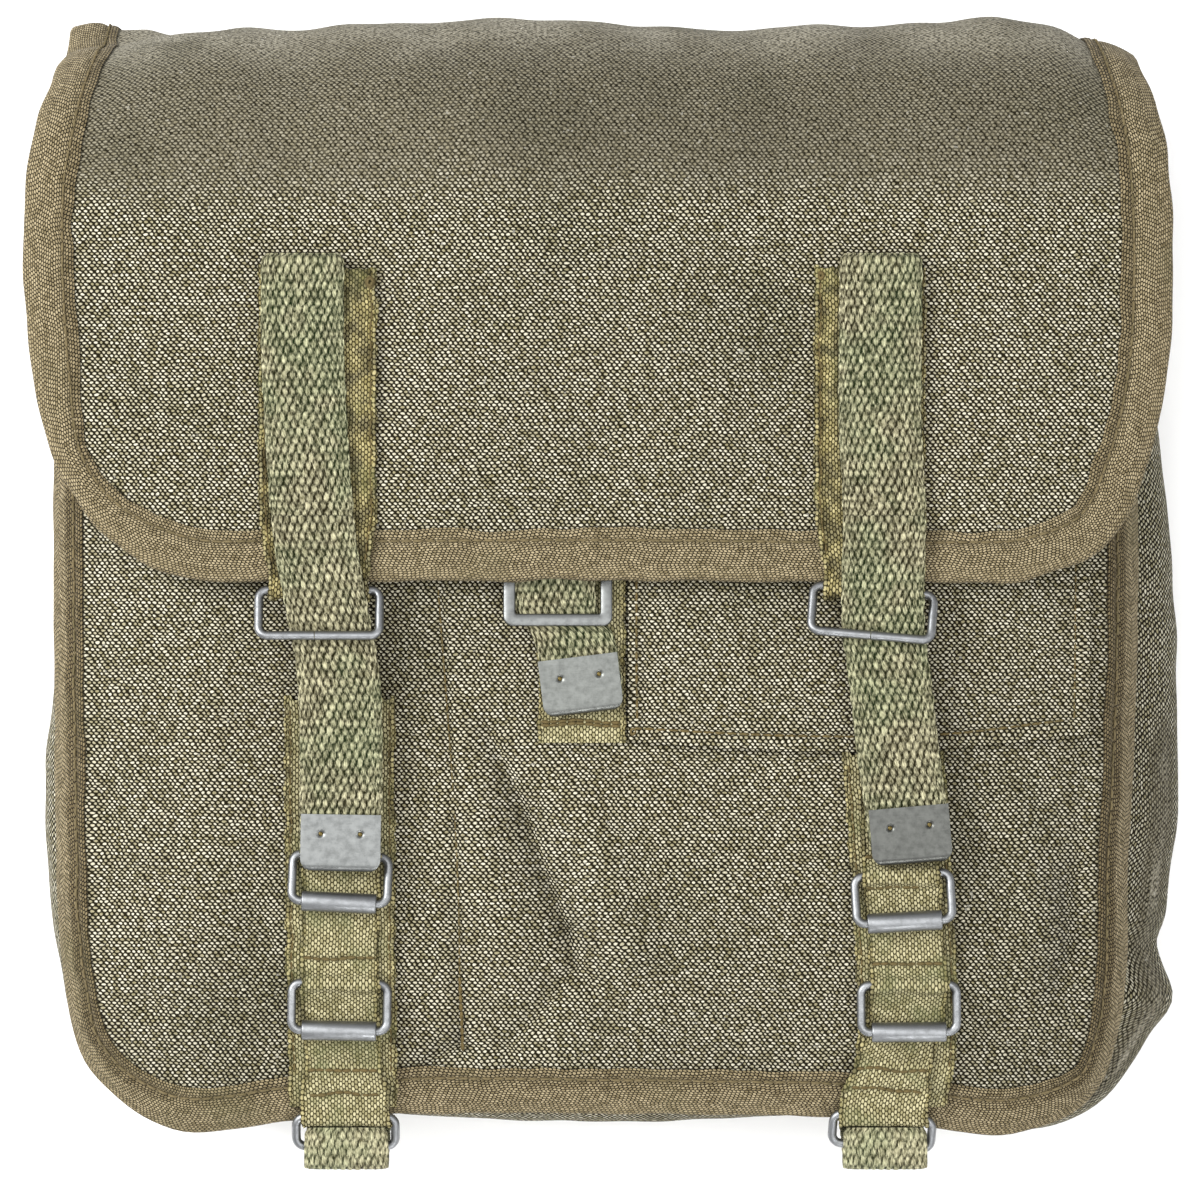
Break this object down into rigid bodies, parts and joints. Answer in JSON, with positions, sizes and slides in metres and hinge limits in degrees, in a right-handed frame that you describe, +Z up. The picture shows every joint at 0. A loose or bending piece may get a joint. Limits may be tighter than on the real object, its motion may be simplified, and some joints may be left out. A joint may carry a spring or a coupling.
{
  "type": "military shoulder bag",
  "caption": "Soft canvas shoulder bag lying on its back, with taped edges, a wide flap, webbing straps with metal tips, and wire roller buckles on its front.",
  "frame": {"origin": "middle of the bag's footprint on the surface that it lies on", "axes": "+Z up, where the bag's front faces; +Y towards the bag's top; +X to the right of its front"},
  "size_m": [0.3148, 0.314, 0.094],
  "materials": {
    "canvas": "faded coarse canvas",
    "binding": "worn twill tape",
    "webbing": "thick woven webbing",
    "tape": "flat cotton tape",
    "metal": "dull worn plating"
  },
  "bodies": {
    "bag": {"front_panel": "canvas", "back_panel": "canvas", "gusset": "canvas", "flap": "canvas", "pocket_flap": "canvas", "front_binding": "binding", "back_binding": "binding", "flap_binding": "binding", "centre_strap": "webbing", "strap_left": "webbing", "bottom_loop_left": "webbing", "strap_right": "webbing", "bottom_loop_right": "webbing", "centre_tape": "tape", "flap_tape_left": "tape", "body_tape_left": "tape", "buckle_tape_left": "tape", "flap_tape_right": "tape", "body_tape_right": "tape", "buckle_tape_right": "tape", "centre_tip": "metal", "centre_frame": "metal", "flap_ring_left": "metal", "strap_tip_left": "metal", "bottom_ring_left": "metal", "flap_ring_right": "metal", "strap_tip_right": "metal", "bottom_ring_right": "metal"},
    "buckle_left_upper": {"buckle_frame_left_upper": "metal"},
    "buckle_left_lower": {"buckle_frame_left_lower": "metal"},
    "buckle_right_upper": {"buckle_frame_right_upper": "metal"},
    "buckle_right_lower": {"buckle_frame_right_lower": "metal"},
    "roller_left_upper": {"roller_left_upper": "metal"},
    "roller_left_lower": {"roller_left_lower": "metal"},
    "roller_right_upper": {"roller_right_upper": "metal"},
    "roller_right_lower": {"roller_right_lower": "metal"}
  },
  "joints": [
    {"name": "buckle_left_upper_swing", "type": "hinge", "parent": "bag", "child": "buckle_left_upper", "pos_m": [-0.07196, -0.07085, 0.082], "axis": [-0.999, 0.0436, 0], "range_deg": [0, 100]},
    {"name": "roller_left_upper_turn", "type": "hinge", "parent": "buckle_left_upper", "child": "roller_left_upper", "pos_m": [-0.07251, -0.08351, 0.08442], "axis": [-0.999, 0.0436, 0], "continuous": true},
    {"name": "buckle_left_lower_swing", "type": "hinge", "parent": "bag", "child": "buckle_left_lower", "pos_m": [-0.0724, -0.10565, 0.07791], "axis": [-0.9998, 0.0175, 0], "range_deg": [0, 100]},
    {"name": "roller_left_lower_turn", "type": "hinge", "parent": "buckle_left_lower", "child": "roller_left_lower", "pos_m": [-0.07263, -0.11854, 0.07749], "axis": [-0.9998, 0.0175, 0], "continuous": true},
    {"name": "buckle_right_upper_swing", "type": "hinge", "parent": "bag", "child": "buckle_right_upper", "pos_m": [0.07987, -0.07605, 0.08189], "axis": [-0.9986, -0.0523, 0], "range_deg": [0, 100]},
    {"name": "roller_right_upper_turn", "type": "hinge", "parent": "buckle_right_upper", "child": "roller_right_upper", "pos_m": [0.08053, -0.08878, 0.08388], "axis": [-0.9986, -0.0523, 0], "continuous": true},
    {"name": "buckle_right_lower_swing", "type": "hinge", "parent": "bag", "child": "buckle_right_lower", "pos_m": [0.08149, -0.10605, 0.07781], "axis": [-1, -0.0087, 0], "range_deg": [0, 100]},
    {"name": "roller_right_lower_turn", "type": "hinge", "parent": "buckle_right_lower", "child": "roller_right_lower", "pos_m": [0.08161, -0.11894, 0.07737], "axis": [-1, -0.0087, 0], "continuous": true}
  ]
}
